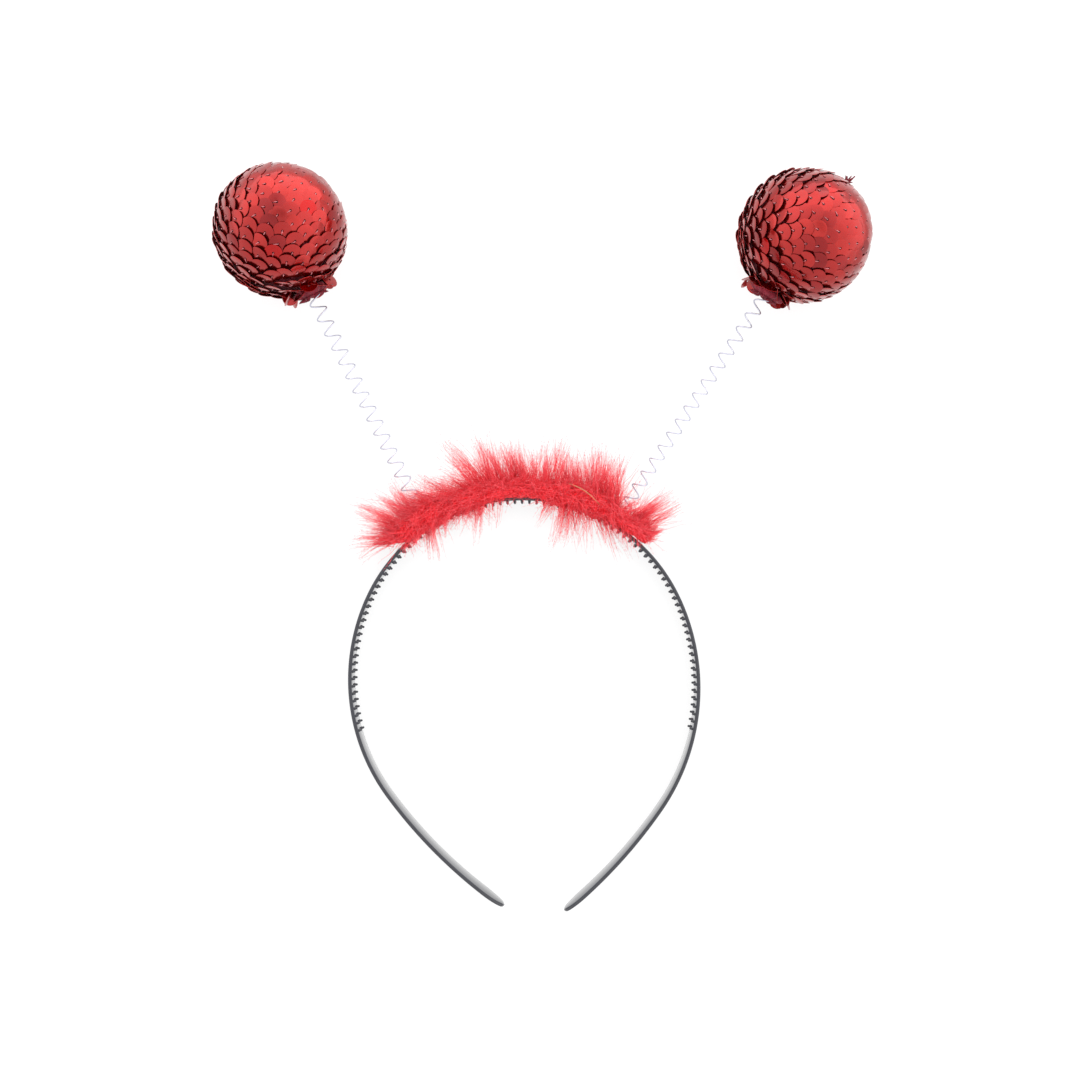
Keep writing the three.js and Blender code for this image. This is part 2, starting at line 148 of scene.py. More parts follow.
# Tufts that fall over the band towards the head, the same way.
INNER_TUFTS = [
    (-0.70, 16, -150, 48, 14, 26, 0.05),
    (-0.66, 20, -158, 48, 10, 16, 0.0),
    (-0.52, 12, -145, 50, 20, 24, 0.0),
    (-0.38, 13, -140, 48, 12, 22, 0.0),
    (-0.29, 14, -163, 45, 12, 46, 0.0),
    (-0.26, 19, -169, 48, 14, 24, 0.0),
    (0.14, 10, 178, 50, 20, 10, 0.0),
    (0.27, 14, -165, 46, 15, 40, 0.0),
    (0.34, 19, 170, 46, 15, 42, 0.0),
    (0.38, 14, 155, 48, 18, 42, 0.0),
    (0.48, 19, 142, 46, 13, 40, 0.0),
    (0.60, 19, 134, 47, 14, 34, 0.0),
    (0.74, 12, 140, 50, 20, 24, 0.0),
    (0.86, 8, 140, 45, 18, 14, 0.0),
]
# Barbs: short ones that stand out all over the body, long ones combed along it, and those of the tufts.
FLUFF = {"count": 1450, "shortest": 4, "longest": 10, "rings": 5, "width": 0.14, "barbules": 11}
COMBED = {"count": 1300, "shortest": 7, "longest": 14, "rings": 6, "width": 0.22, "barbules": 14}
BARB = {"rings": 7, "width": 0.2, "barbules": 20, "clump": 10, "share": 1.72}
BARBULE = {"length": 1.05, "width": 0.08, "spread": 36}
TONES = 24  # shades that barbs come in
# Where round the body barbs grow, in degrees from the start: all of it, or only what the bare band leaves.
SPINS = {"start": -70, "all": 275, "bare": 165}
# Barbs over the band lie on its top edge, and those near the floor flatten out over it.
OVER_BAND = {"outside": 0.25, "inside": -2.8, "above": 0.35}
FLOOR_SOFT = 2.2

# The tent's brightness from its floor to the opening overhead.
TENT = [(0.0, 1.0), (0.5, 0.95), (0.85, 0.85), (0.975, 0.72), (0.995, 0.45)]

# Meshes


def unit(vectors):
    vectors = np.asarray(vectors, float)
    return vectors / np.linalg.norm(vectors, axis=-1, keepdims=True)


def add_mesh(name, points, faces, material, values=None, sharp=None):
    """A mesh object from points in millimetres and a list of face arrays, smooth up to the angle sharp."""
    mesh = bpy.data.meshes.new(name)
    mesh.vertices.add(len(points))
    mesh.vertices.foreach_set("co", (np.asarray(points, float) * MM).astype(np.float32).ravel())
    corners = np.concatenate([np.asarray(f, np.int32).ravel() for f in faces])
    sizes = np.concatenate([np.full(len(f), f.shape[1], np.int32) for f in map(np.asarray, faces)])
    starts = np.concatenate([[0], np.cumsum(sizes)[:-1]]).astype(np.int32)
    mesh.loops.add(len(corners))
    mesh.loops.foreach_set("vertex_index", corners)
    mesh.polygons.add(len(sizes))
    mesh.polygons.foreach_set("loop_start", starts)
    mesh.update(calc_edges=True)
    mesh.validate()
    for key, value in (values or {}).items():
        mesh.attributes.new(key, "FLOAT", "POINT").data.foreach_set("value", value.astype(np.float32))
    mesh.shade_smooth()
    if sharp is not None:
        mesh.set_sharp_from_angle(angle=math.radians(sharp))
    mesh.materials.append(material)
    thing = bpy.data.objects.new(name, mesh)
    bpy.context.scene.collection.objects.link(thing)
    return thing


def join_shapes(shapes):
    """One (points, faces) pair from several."""
    points, faces, start = [], [], 0
    for some_points, some_faces in shapes:
        points.append(some_points)
        faces.extend(np.asarray(f) + start for f in some_faces)
        start += len(some_points)
    return np.concatenate(points), faces


def quad_rows(rows, around, closed=False):
    """Quads between rings of points, and if closed also from the last ring to the first."""
    at = np.arange(around)
    after = (at + 1) % around
    row = np.arange(rows if closed else rows - 1)[:, None]
    here, there = row * around, (row + 1) % rows * around
    return np.stack([here + at, here + after, there + after, there + at], -1).reshape(-1, 4)


def skin(rings):
    """Closed skin over rings of points, (rings, points each, 3), with a flat fan at each end. The rings run
    counterclockwise about the way from the first to the last."""
    rings = np.asarray(rings, float)
    count, around = rings.shape[:2]
    at = np.arange(around)
    after = (at + 1) % around
    first, last = count * around, (count - 1) * around
    caps = np.concatenate([
        np.stack([np.full(around, first), after, at], -1),
        np.stack([np.full(around, first + 1), last + at, last + after], -1),
    ])
    ends = np.array([rings[0].mean(0), rings[-1].mean(0)])
    return np.concatenate([rings.reshape(-1, 3), ends]), [quad_rows(count, around), caps]


def round_angles(count):
    return np.arange(count) * 2 * math.pi / count


def towards(first, second, angles):
    """Directions at angles from the first of two square directions towards the second."""
    return np.cos(angles)[..., None] * first + np.sin(angles)[..., None] * second


def lathe(profile, base, direction, sides):
    """A closed turned shape: profile is (radius, distance) along a direction from its base."""
    spokes = towards(*across(direction), round_angles(sides))
    return skin([base + height * direction + radius * spokes for radius, height in profile])


def across(direction):
    """Two directions square to one direction, or to each of several, and to each other."""
    direction = np.asarray(direction, float)
    hint = np.where(np.abs(direction[..., 2:]) < 0.8, UP, np.array([1.0, 0.0, 0.0]))
    side = unit(np.cross(hint, direction))
    return side, np.cross(direction, side)


# Materials


def new_material(name, **values):
    """A material and its shader. values are the shader's sockets, with _ for a space."""
    material = bpy.data.materials.new(name)
    material.use_nodes = True
    shader = material.node_tree.nodes["Principled BSDF"]
    for key, value in values.items():
        shader.inputs[key.replace("_", " ")].default_value = value
    return material, shader


def node(material, kind, **inputs):
    """A node of that kind in a material or the world, its inputs set to a value or linked to an output."""
    made = material.node_tree.nodes.new(kind)
    for key, value in inputs.items():
        socket = made.inputs[key.replace("_", " ")]
        if isinstance(value, bpy.types.NodeSocket):
            material.node_tree.links.new(value, socket)
        else:
            socket.default_value = value
    return made


def link(material, output, socket):
    material.node_tree.links.new(output, socket)


def object_place(material):
    return node(material, "ShaderNodeTexCoord").outputs["Object"]


def attribute(material, name):
    made = node(material, "ShaderNodeAttribute")
    made.attribute_name = name
    return made.outputs["Fac"]


def noise(material, place, scale, detail=2.0, roughness=0.5):
    made = node(material, "ShaderNodeTexNoise", Vector=place, Scale=scale, Detail=detail, Roughness=roughness)
    return made.outputs["Fac"]


def spread_over(material, value, low, high, to_low, to_high):
    """Maps a value's range low to high onto to_low to to_high."""
    made = node(material, "ShaderNodeMapRange")
    link(material, value, made.inputs["Value"])
    for key, number in (("From Min", low), ("From Max", high), ("To Min", to_low), ("To Max", to_high)):
        made.inputs[key].default_value = number
    return made.outputs["Result"]


def ramp(material, value, stops):
    """A colour ramp over (position, colour) stops."""
    made = node(material, "ShaderNodeValToRGB", Fac=value)
    elements = made.color_ramp.elements
    while len(elements) < len(stops):
        elements.new(0.5)
    for element, (position, colour) in zip(elements, stops):
        element.position = position
        element.color = (*colour, 1)
    return made.outputs["Color"]


def math_node(material, operation, first, second):
    made = node(material, "ShaderNodeMath")
    made.operation = operation
    link(material, first, made.inputs[0])
    link(material, second, made.inputs[1])
    return made.outputs[0]


def mix(material, share, first, second, blend="MIX"):
    made = material.node_tree.nodes.new("ShaderNodeMix")
    made.data_type = "RGBA"
    made.blend_type = blend
    for index, value in ((0, share), (6, first), (7, second)):
        if isinstance(value, bpy.types.NodeSocket):
            link(material, value, made.inputs[index])
        else:
            made.inputs[index].default_value = value if index == 0 else (*value, 1)
    return made.outputs[2]


def bump(material, shader, height, distance, strength=1.0):
    made = node(material, "ShaderNodeBump", Height=height, Distance=distance, Strength=strength)
    link(material, made.outputs["Normal"], shader.inputs["Normal"])


def black_plastic():
    """Glossy moulded plastic with flow marks and fine scuffs, and a grey highlight painted along the middle
    of its edges.
    """
    material, shader = new_material(
        "black_plastic", IOR=1.33, Coat_Weight=0.85, Coat_IOR=1.42, Coat_Roughness=0.06
    )
    place = object_place(material)
    flow = noise(material, place, 90, 3)
    colour = ramp(material, flow, [(0.3, (0.003, 0.004, 0.01)), (0.7, (0.005, 0.007, 0.017))])
    highlight_streaks = spread_over(material, noise(material, place, 500, 3, 0.7), 0.25, 0.7, 0.6, 1.0)
    # Painted highlight: grey mixed in along the middle of both edges, patchy with noise.
    share = math_node(material, "MULTIPLY", attribute(material, "highlight_line"), highlight_streaks)
    highlight_grey = (0.03, 0.03, 0.036)
    link(material, mix(material, share, colour, highlight_grey), shader.inputs["Base Color"])
    scuffs = spread_over(material, noise(material, place, 900, 4, 0.7), 0.35, 0.7, 0.07, 0.16)
    link(material, scuffs, shader.inputs["Roughness"])
    bump(material, shader, noise(material, place, 260, 3), 0.00003, 0.4)
    return material


def steel_wire():
    """Bright drawn wire, with the die's fine scratches."""
    material, shader = new_material("steel_wire", Metallic=1.0)
    place = object_place(material)
    cloud = noise(material, place, 260, 2)
    colour = ramp(material, cloud, [(0.3, (0.48, 0.48, 0.57)), (0.7, (0.6, 0.6, 0.69))])
    link(material, colour, shader.inputs["Base Color"])
    scratches = noise(material, place, 2400, 3, 0.7)
    link(material, spread_over(material, scratches, 0.3, 0.7, 0.3, 0.42), shader.inputs["Roughness"])
    bump(material, shader, scratches, 0.00002, 0.4)
    return material


def red_sequins():
    """Metallised transparent film: every sequin has a shade of its own, and its face is never quite even."""
    material, shader = new_material(
        "red_sequins", Metallic=0.92, Coat_Weight=0.45, Coat_Roughness=0.07, Coat_IOR=1.5
    )
    place = object_place(material)
    shade = ramp(material, attribute(material, "tone"), [
        (0.0, (0.24, 0.005, 0.006)),
        (0.12, (0.28, 0.006, 0.007)),
        (0.5, (0.37, 0.013, 0.011)),
        (0.85, (0.47, 0.02, 0.016)),
        (1.0, (0.4, 0.001, 0.001)),
    ])
    cloud = ramp(material, noise(material, place, 160, 3), [(0.3, (0.84, 0.84, 0.84)), (0.7, (1, 1, 1))])
    link(material, mix(material, 1.0, shade, cloud, "MULTIPLY"), shader.inputs["Base Color"])
    link(material, spread_over(material, noise(material, place, 700, 3), 0.3, 0.7, 0.2, 0.32),
         shader.inputs["Roughness"])
    bump(material, shader, noise(material, place, 420, 3), 0.00008, 0.4)
    return material


def red_cloth():
    """Matt woven cloth, with painted shade in the hollows between its threads."""
    material, shader = new_material("red_cloth", Roughness=0.85, Sheen_Weight=0.2, Sheen_Roughness=0.4)
    place = object_place(material)
    wave = node(material, "ShaderNodeTexWave", Vector=place, Scale=900, Distortion=1.5, Detail=2)
    # Painted shade: darker where the weave's bump is low, between the threads.
    colour = ramp(material, wave.outputs["Fac"], [(0.1, (0.09, 0.002, 0.014)), (0.8, (0.32, 0.006, 0.024))])
    patches = ramp(material, noise(material, place, 220, 2), [(0.3, (0.65, 0.6, 0.6)), (0.7, (1, 1, 1))])
    link(material, mix(material, 1.0, colour, patches, "MULTIPLY"), shader.inputs["Base Color"])
    bump(material, shader, wave.outputs["Fac"], 0.0001, 0.8)
    return material


def two_tone(name, scale, dark, light, **values):
    """A plain material that wavers between two shades."""
    material, shader = new_material(name, **values)
    colour = ramp(material, noise(material, object_place(material), scale, 2), [(0.3, dark), (0.7, light)])
    link(material, colour, shader.inputs["Base Color"])
    return material


def stitch_thread():
    """Fine clear thread that takes up the red under it."""
    dark, light = (0.3, 0.04, 0.05), (0.62, 0.18, 0.2)
    return two_tone("stitch_thread", 300, dark, light, Roughness=0.35, Sheen_Weight=0.3)


def red_marabou():
    """Red down: deep at the cord, and painted paler and pinker towards each barb's tip for the light that
    shows through the thin tips, with a tone of its own for each barb.
    """
    material, shader = new_material(
        "red_marabou", Roughness=0.8, Specular_IOR_Level=0.15,
        Sheen_Weight=0.6, Sheen_Roughness=0.5, Sheen_Tint=(1, 0.2, 0.25, 1)
    )
    # Painted light: paler and pinker towards each tip, where light shows through the thin barbs.
    along = ramp(material, attribute(material, "tip"), [
        (0.0, (0.84, 0.012, 0.022)),
        (0.25, (0.99, 0.028, 0.04)),
        (0.75, (1.0, 0.065, 0.08)),
        (1.0, (1.0, 0.15, 0.18)),
    ])
    tone = attribute(material, "tone")
    shade = ramp(material, tone, [(0.0, (0.66, 0.6, 0.6)), (0.4, (0.98, 0.98, 0.98)), (1.0, (1, 1, 1))])
    pale = ramp(material, tone, [(0.5, (0, 0, 0)), (1.0, (0.01, 0.05, 0.055))])
    colour = mix(material, 1.0, mix(material, 1.0, along, shade, "MULTIPLY"), pale, "ADD")
    link(material, colour, shader.inputs["Base Color"])
    return material


def marabou_body():
    """The dense middle of the strip, where barbs lie on each other."""
    material, shader = new_material(
        "marabou_body", Roughness=0.85, Specular_IOR_Level=0.15, Sheen_Weight=0.1, Sheen_Roughness=0.5
    )
    place = object_place(material)
    strands = node(
        material, "ShaderNodeTexWave", Vector=place, Scale=260, Distortion=14, Detail=4, Detail_Scale=2.0
    )
    # Painted shade: darker where the strands' bump is low, between the strands.
    colour = ramp(material, strands.outputs["Fac"], [(0.1, (0.7, 0.006, 0.014)), (0.8, (0.98, 0.02, 0.032))])
    link(material, colour, shader.inputs["Base Color"])
    bump(material, shader, strands.outputs["Fac"], 0.0006, 0.9)
    return material


def quill():
    """The bare brown shaft of a feather."""
    return two_tone("quill", 400, (0.36, 0.13, 0.05), (0.52, 0.24, 0.11), Roughness=0.4, Coat_Weight=0.3)


def light_table():
    """A lit white floor, bright enough to leave next to no shadow."""
    return new_material(
        "light_table", Base_Color=(0.2, 0.2, 0.2, 1), Roughness=0.9, Specular_IOR_Level=0.1,
        Emission_Color=(1, 1, 1, 1), Emission_Strength=0.79
    )[0]


# Band


def band_frame(along):
    """The outer face's point at a signed distance from the crown, its outward normal and the way right."""
    side = -1 if along < 0 else 1
    left, turn, x, y = abs(along), 0.0, 0.0, 0.0
    for index, (radius, sweep) in enumerate(ARCS[side]):
        length = radius * math.radians(sweep)
        used = left if index == len(ARCS[side]) - 1 else min(left, length)
        after = turn + used / radius
        x += radius * (math.sin(after) - math.sin(turn))
        y += radius * (math.cos(after) - math.cos(turn))
        turn = after
        left -= used
    point = CROWN + np.array([side * x, y, 0.0])
    normal = np.array([side * math.sin(turn), math.cos(turn), 0.0])
    tangent = np.array([math.cos(turn), -side * math.sin(turn), 0.0])
    return point, normal, tangent


def side_length(side):
    return sum(radius * math.radians(sweep) for radius, sweep in ARCS[side])


EDGE_POINTS = 5  # of each rounded corner of the band's section


def rounded_outline(thickness, width, corner):
    """Points round the band's section, as (inset from the outer face, height)."""
    outline = []
    quarter = np.linspace(0, math.pi / 2, EDGE_POINTS)
    for inset, height, start in (
        (corner, width / 2 - corner, 0),
        (thickness - corner, width / 2 - corner, 1),
        (thickness - corner, corner - width / 2, 2),
        (corner, corner - width / 2, 3),
    ):
        angles = math.pi - start * math.pi / 2 - quarter
        outline += [(inset + corner * math.cos(a), height + corner * math.sin(a)) for a in angles]
    return outline


def band_ring(along):
    point, normal, _ = band_frame(along)
    full = side_length(-1 if along < 0 else 1)
    share = max(0.0, (abs(along) - full + BAND["tip"]) / BAND["tip"])
    round_off = math.sqrt(max(0.0, 1 - share * share))
    width = BAND["width"] * round_off
    # The outermost sections thin down too, so that the end is round all over.
    thin = BAND["thickness"] * min(1.0, 0.3 + 1.6 * round_off)
    lost = (BAND["thickness"] - thin) / 2
    corner = min(BAND["corner"], width / 2.2, thin / 2.2)
    middle = BAND["width"] / 2
    return [
        point - (lost + inset) * normal + (middle + height) * UP
        for inset, height in rounded_outline(thin, width, corner)
    ]


def headband(material):
    stations = []
    for side in (-1, 1):
        full = side_length(side)
        straight = full - BAND["tip"]
        body = np.linspace(0, straight, round(straight / BAND["step"]))
        tip = straight + BAND["tip"] * np.sin(np.linspace(0, math.pi / 2, BAND_TIP_STATIONS)[1:-1])
        stations.append(side * np.concatenate([body, tip, [full - 0.02]]))
    path = np.concatenate([stations[0][:0:-1], stations[1]])
    shapes = [skin([band_ring(s) for s in path])]
    # The middle of both edges carries the painted grey highlight line.
    on_highlight_line = np.zeros(EDGE_POINTS * 4)
    on_highlight_line[[EDGE_POINTS - 1, EDGE_POINTS, 3 * EDGE_POINTS - 1, 3 * EDGE_POINTS]] = 1
    highlight_line = np.tile(on_highlight_line, len(path))
    foot, neck, sunk, tall = (TEETH[key] for key in ("foot", "neck", "sunk", "height"))
    profile = [
        (foot, 0), (foot, sunk + 0.05), (neck, sunk + 0.3),
        (neck - 0.04, sunk + tall * 0.75), (0.24, sunk + tall * 0.96), (0.07, sunk + tall),
    ]
    for place in (np.arange(TEETH["per_row"]) - (TEETH["per_row"] - 1) / 2) * TEETH["pitch"]:
        point, normal, _ = band_frame(place)
        for height in (TEETH["inset"], BAND["width"] - TEETH["inset"]):
            base = point - (BAND["thickness"] - sunk) * normal + height * UP
            shapes.append(lathe(profile, base, -normal, TOOTH_SIDES))
    for name in SPRINGS:
        root, axis, _ = spring_axis(name)
        radius = coil_radius(name) - WIRE["width"] / 2 - WIRE["fit"]
        top = (radius - POST["taper"], POST["length"])
        post = [(radius, -POST["sunk"]), (radius, POST["straight"]), top]
        shapes.append(lathe(post, root, axis, POST["sides"]))
    points, faces = join_shapes(shapes)
    highlight_line = np.concatenate([highlight_line, np.zeros(len(points) - len(highlight_line))])
    return add_mesh("headband_moulding", points, faces, material, {"highlight_line": highlight_line}, sharp=50)


# Springs


def spring_axis(name):
    """The spring's root on the band, the unit vector to its ball's centre and the distance between them."""
    spring = SPRINGS[name]
    point, _, _ = band_frame(spring["at"])
    root = point + BAND["width"] / 2 * UP
    lean = math.radians(spring["lean"])
    centre = root + spring["reach"] * np.array([math.sin(lean), math.cos(lean), 0.0])
    centre[2] = BALL["radius"]
    way = centre - root
    span = float(np.linalg.norm(way))
    return root, way / span, span


def ball_centre(name):
    root, axis, span = spring_axis(name)
    return root + span * axis


def coil_radius(name):
    return (SPRINGS[name]["width"] - WIRE["width"]) / 2


def spring_start(name):
    """How far along its axis the first turn lies, so that the tilted turn clears the band."""
    _, axis, _ = spring_axis(name)
    _, normal, _ = band_frame(SPRINGS[name]["at"])
    tilt = math.acos(float(axis @ normal))
    return WIRE["fit"] + WIRE["width"] / 2 + coil_radius(name) * math.tan(tilt)


def coil_spring(name, material):
    """Round wire with closed turns at both ends."""
    root, axis, span = spring_axis(name)
    start = spring_start(name)
    length = span - BALL["radius"] + BALL["socket"] - start
    closed = WIRE["closed_turns"]
    open_length = length - 2 * closed * WIRE["closed_pitch"]
    open_turns = max(1, round(open_length / SPRINGS[name]["pitch"]))
    turns = open_turns + 2 * closed
    turn = np.linspace(0, turns, turns * WIRE["steps"] + 1)
    lower = np.minimum(turn, closed)
    upper = np.maximum(0, turn - closed - open_turns)
    height = (lower + upper) * WIRE["closed_pitch"] + (turn - lower - upper) * open_length / open_turns
    angle = math.radians(SPRINGS[name]["phase"]) + 2 * math.pi * turn
    outward = towards(*coil_sides(axis), angle)
    path = root + (start + height)[:, None] * axis + coil_radius(name) * outward
    along = unit(np.gradient(path, axis=0))
    second = np.cross(along, outward)
    spokes = towards(outward[:, None], second[:, None], round_angles(WIRE["sides"]))
    points, faces = skin(path[:, None] + WIRE["width"] / 2 * spokes)
    spring = add_mesh(f"{name}_coil_spring", points, faces, material)
    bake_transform(spring)
    return spring


def coil_sides(axis):
    """The X and Y directions of the coil, which are the frame's turned the short way from Z to its axis."""
    turn = Vector((0, 0, 1)).rotation_difference(Vector(axis)).to_matrix()
    return np.array(turn.col[0]), np.array(turn.col[1])


# Balls


def ball_rows(name, rng):
    """Each sequin's place as a unit vector, the way its free edge points and how much it stands up."""
    pole = unit(ROWS_TOWARDS[name])
    side, over = across(pole)
    step = SEQUIN["row"] / SEQUIN["seat"]
    spots = [pole[None]]
    for row in range(1, round(math.pi / step)):
        polar = row * step
        count = max(5, round(2 * math.pi * math.sin(polar) * SEQUIN["seat"] / SEQUIN["pitch"]))
        turn = (np.arange(count) + 0.5 * (row % 2)) * 2 * math.pi / count
        spots.append(math.cos(polar) * pole + math.sin(polar) * towards(side, over, turn))
    spots = np.concatenate(spots)
    spots = unit(spots + rng.normal(0, 0.008, spots.shape))
    ahead = spots @ pole
    aim = pole + 0.85 * (1 - ahead)[:, None] * UP
    ways = unit(aim - np.sum(aim * spots, -1, keepdims=True) * spots + 1e-6 * side)
    stand = np.clip((0.35 - ahead) / 0.9, 0, 1)
    return spots, ways, stand


def sequin_shapes(centres, ways, normals, rng):
    """Thin discs with a hole in the middle and the rim bent down, one for each centre."""
    segments = SEQUIN_SHAPE["segments"]
    hole, rim, sheet, bent = (SEQUIN[key] for key in ("hole", "radius", "sheet", "bent"))
    flat = SEQUIN_SHAPE["flat"] * rim
    profile = [(hole, 0), (flat, 0), (rim, -bent), (rim, -bent - sheet), (flat, -sheet), (hole, -sheet)]
    angle = round_angles(segments)
    radius, height = (np.array(column, float)[:, None] for column in zip(*profile))
    count = len(centres)
    warp = rng.normal(0, SEQUIN_SHAPE["warp"], (count, 1, 1))
    start = rng.uniform(0, 6.3, (count, 1, 1))
    lift = height + warp * radius**2 * np.cos(2 * angle + start)
    third = np.cross(normals, ways)
    points = (
        centres[:, None, None]
        + (radius * np.cos(angle))[None, ..., None] * ways[:, None, None]
        + (radius * np.sin(angle))[None, ..., None] * third[:, None, None]
        + lift[..., None] * normals[:, None, None]
    )
    each = len(profile) * segments
    quads = quad_rows(len(profile), segments, closed=True)[:, [0, 3, 2, 1]]
    faces = (np.arange(count)[:, None, None] * each + quads).reshape(-1, 4)
    return points.reshape(-1, 3), faces, each


def turned(vectors, axes, angles):
    """Each vector turned about its axis."""
    cosine, sine = np.cos(angles)[:, None], np.sin(angles)[:, None]
    along = np.sum(vectors * axes, -1, keepdims=True)
    return vectors * cosine + np.cross(axes, vectors) * sine + axes * along * (1 - cosine)


def neck_sequins(name, rng):
    """Centres, edge directions and facings of the sequins that stand at odd angles round the neck."""
    _, axis, _ = spring_axis(name)
    count = NECK_SEQUINS[name]
    turn = (np.arange(count) + rng.uniform(-0.3, 0.3, count)) * 2 * math.pi / count
    out = towards(*across(-axis), turn)
    away = rng.uniform(5.6, 8.6, count)[:, None]
    down = rng.uniform(20.9, 22.7, count)[:, None]
    centres = ball_centre(name) + away * out - down * axis
    # Each lies along the neck, from flat on the ball to standing off it. Those on top stand off the most.
    stand = rng.uniform(35, 88, count)
    stand = np.radians(np.where(out[:, 2] > 0.1, 10 + 0.4 * stand, stand))[:, None]
    edge = -np.sin(stand) * axis + np.cos(stand) * out
    facing = np.sin(stand) * out - np.cos(stand) * axis
    edge, facing = unit(edge), unit(facing - np.sum(facing * edge, -1, keepdims=True) * edge)
    roll = np.radians(rng.normal(0, 26, count))
    return centres, edge, turned(facing, edge, roll)


def ball_sequins(name, material, thread, rng):
    centre = ball_centre(name)
    _, axis, _ = spring_axis(name)
    spots, ways, stand = ball_rows(name, rng)
    from_neck = np.linalg.norm(spots * SEQUIN["seat"] + axis * BALL["radius"], axis=1)
    kept = from_neck > BALL["neck"] + 0.6
    spots, ways, stand, from_neck = spots[kept], ways[kept], stand[kept], from_neck[kept]
    count = len(spots)
    tilt = np.radians(8.5 + 6 * stand + rng.normal(0, 1.5 + 2.0 * stand, count))
    roll = np.radians(rng.normal(0, 1.6 + 2.2 * stand, count))
    # The sequins round the neck stand off the cloth, where it is drawn in.
    near = np.clip((BALL["neck"] + 6 - from_neck) / 5, 0, 1)
    tilt += near * np.radians(rng.uniform(-6, 16, count))
    roll += near * np.radians(rng.normal(0, 12, count))
    sideways = np.cross(spots, ways)
    facing = turned(spots, sideways, -tilt)
    edge = turned(ways, sideways, -tilt)
    facing = turned(facing, edge, roll)
    seat = SEQUIN["seat"] + rng.normal(0, 0.05, count)
    centres = centre + spots * seat[:, None]
    stitches = ball_stitches(name, centres, edge, facing, thread, rng)
    odd_centres, odd_edge, odd_facing = neck_sequins(name, rng)
    centres = np.concatenate([centres, odd_centres])
    points, faces, each = sequin_shapes(
        centres, np.concatenate([edge, odd_edge]), np.concatenate([facing, odd_facing]), rng
    )
    count = len(centres)
    tone = 0.5 + rng.normal(0, 0.13, count)
    odd = rng.uniform(0, 1, count)
    tone = np.where(odd < 0.045, rng.uniform(0, 0.12, count), tone)
    tone = np.where(odd > 0.96, 1.0, tone).clip(0, 1)
    points[:, 2] = np.maximum(points[:, 2], SEQUIN_SHAPE["lowest"])
    discs = add_mesh(f"{name}_sequins", points, [faces], material, {"tone": np.repeat(tone, each)}, sharp=45)
    return discs, stitches


def ball_stitches(name, centres, edge, facing, material, rng):
    """A stitch out of each hole, which holds the sequin down on its cloth."""
    count = len(centres)
    way = turned(edge, facing, np.radians(rng.normal(152, 16, count)))
    start = centres + facing * 0.03 - way * 0.2
    length = rng.uniform(1.1, 1.9, count)
    steps = np.linspace(0, 1, 6)
    arch = 0.2 * np.sin(np.pi * steps) + 0.03
    path = start[:, None] + way[:, None] * (length[:, None] * steps)[..., None]
    path = path + facing[:, None] * arch[None, :, None]
    width = np.array([0.08, 0.16, 0.15, 0.13, 0.1, 0.05])
    points, faces = tubes(path, np.tile(width, (count, 1)), 5)
    return add_mesh(f"{name}_stitches", points, faces, material)


def thread_ends(material, rng):
    """The frayed ends of the thread that closes one ball's cloth."""
    count = THREAD_ENDS["count"]
    pole = unit(THREAD_ENDS["way"])
    root = ball_centre(THREAD_ENDS["on"]) + pole * BALL["radius"] * 0.97
    way = unit(pole + rng.normal(0, 0.6, (count, 3)))
    length = THREAD_ENDS["length"] * rng.uniform(0.6, 1.2, count)
    steps = np.linspace(0, 1, 5)
    bend = rng.normal(0, 0.35, (count, 3))
    path = root + length[:, None, None] * (
        way[:, None] * steps[None, :, None] + bend[:, None] * (steps**2)[None, :, None]
    )
    radii = np.tile(np.array([0.34, 0.33, 0.3, 0.26, 0.12]), (count, 1))
    points, faces = tubes(path + rng.normal(0, 0.25, (count, 1, 3)), radii, 5)
    return add_mesh("thread_ends", points, faces, material)


def tubes(paths, radii, sides):
    """Closed tapered tubes: paths (count, rings, 3) and their radii (count, rings)."""
    count, rings = paths.shape[:2]
    side, over = across(unit(paths[:, -1] - paths[:, 0]))
    spokes = towards(side[:, None], over[:, None], round_angles(sides))
    points = paths[:, :, None] + radii[..., None, None] * spokes[:, None]
    at = np.arange(sides)
    start = np.arange(count)[:, None, None] * rings * sides
    walls = start + quad_rows(rings, sides)
    ends = start + np.stack([at[::-1], at + (rings - 1) * sides])
    return points.reshape(-1, 3), [walls.reshape(-1, 4), ends.reshape(-1, sides)]


def ball_cover(name, material):
    """The cloth that the sequins are sewn to, over the foam ball."""
    centre = ball_centre(name)
    _, axis, _ = spring_axis(name)
    turn = round_angles(COVER["around"])
    ring = towards(*across(axis), turn)
    hole = math.asin((SPRINGS[name]["width"] / 2 + WIRE["fit"]) / COVER["radius"])
    polar = np.linspace(hole, math.pi - 0.02, COVER["rings"])[:, None]
    folds = COVER["fold"] * np.sin(COVER["folds"] * turn)[None] * np.exp(-polar / 0.25)
    rings = centre + (COVER["radius"] + folds)[..., None] * towards(-axis, ring, polar)
    points, faces = skin(rings[::-1])
    cover = add_mesh(f"{name}_sequin_cloth", points, faces, material)
    return cover


